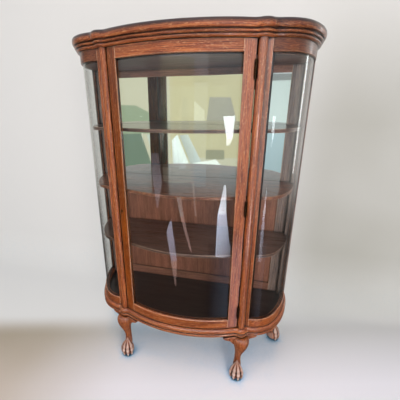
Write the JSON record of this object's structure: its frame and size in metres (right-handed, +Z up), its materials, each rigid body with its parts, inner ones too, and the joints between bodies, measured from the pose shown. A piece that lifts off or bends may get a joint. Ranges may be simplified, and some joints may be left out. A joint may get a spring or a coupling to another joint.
{
  "type": "china cabinet",
  "caption": "Tall display cabinet with a bowed glass door between columns, bent glass sides, mirrored back, wooden shelves and cabriole legs with ball-and-claw feet.",
  "frame": {"origin": "on the floor, in the middle of the width and depth", "axes": "+X to the right seen from the front, +Y to the back, +Z up"},
  "size_m": [1.094, 0.413, 1.575],
  "materials": {
    "quartered_oak": "satin varnish",
    "shelf_oak": "satin varnish",
    "panel_oak": "satin varnish",
    "backing_board": "bare",
    "dowel_wood": "bare",
    "clear_glass": "polished",
    "silvered_mirror": "polished",
    "aged_brass": "tarnished",
    "screw_brass": "tarnished"
  },
  "bodies": {
    "case": {"top_board": "quartered_oak", "cornice_front": "quartered_oak", "cornice_left": "quartered_oak", "cornice_right": "quartered_oak", "cornice_back_rail": "quartered_oak", "ceiling_board": "shelf_oak", "front_top_rail": "quartered_oak", "left_front_post": "quartered_oak", "right_front_post": "quartered_oak", "left_rear_post": "quartered_oak", "right_rear_post": "quartered_oak", "left_side_top_rail": "quartered_oak", "right_side_top_rail": "quartered_oak", "left_side_bottom_rail": "quartered_oak", "right_side_bottom_rail": "quartered_oak", "left_side_glass": "clear_glass", "right_side_glass": "clear_glass", "left_glass_stops": "quartered_oak", "right_glass_stops": "quartered_oak", "base_moulding_front": "quartered_oak", "base_moulding_left": "quartered_oak", "base_moulding_right": "quartered_oak", "base_frame": "quartered_oak", "bottom_board": "shelf_oak", "front_left_leg": "quartered_oak", "front_right_leg": "quartered_oak", "rear_left_leg": "quartered_oak", "rear_right_leg": "quartered_oak", "back_left_stile": "quartered_oak", "back_right_stile": "quartered_oak", "back_top_rail": "quartered_oak", "back_middle_rail": "quartered_oak", "back_bottom_rail": "quartered_oak", "mirror": "silvered_mirror", "mirror_backing": "backing_board", "lower_back_panel": "panel_oak", "upper_shelf": "shelf_oak", "middle_shelf": "shelf_oak", "lower_shelf": "shelf_oak", "shelf_pins": "dowel_wood", "case_hinge_leaves": "aged_brass", "hinge_pins": "aged_brass", "case_hinge_screws": "screw_brass", "strike_plate": "aged_brass"},
    "door": {"door_hinge_stile": "quartered_oak", "door_lock_stile": "quartered_oak", "door_top_rail": "quartered_oak", "door_bottom_rail": "quartered_oak", "door_glass": "clear_glass", "door_glass_stops": "quartered_oak", "door_hinge_leaves": "aged_brass", "door_hinge_screws": "screw_brass", "lock_case": "aged_brass", "keyhole_escutcheon": "aged_brass"},
    "lock_bolt": {"lock_bolt": "aged_brass"}
  },
  "joints": [
    {"name": "door_hinge", "type": "hinge", "parent": "case", "child": "door", "pos_m": [0.2825, -0.12511, 0.9035], "axis": [0, 0, 1], "range_deg": [0, 115]},
    {"name": "lock_bolt_slide", "type": "slide", "parent": "door", "child": "lock_bolt", "axis": [-1, 0, 0], "range_m": [0, 0.007]}
  ]
}
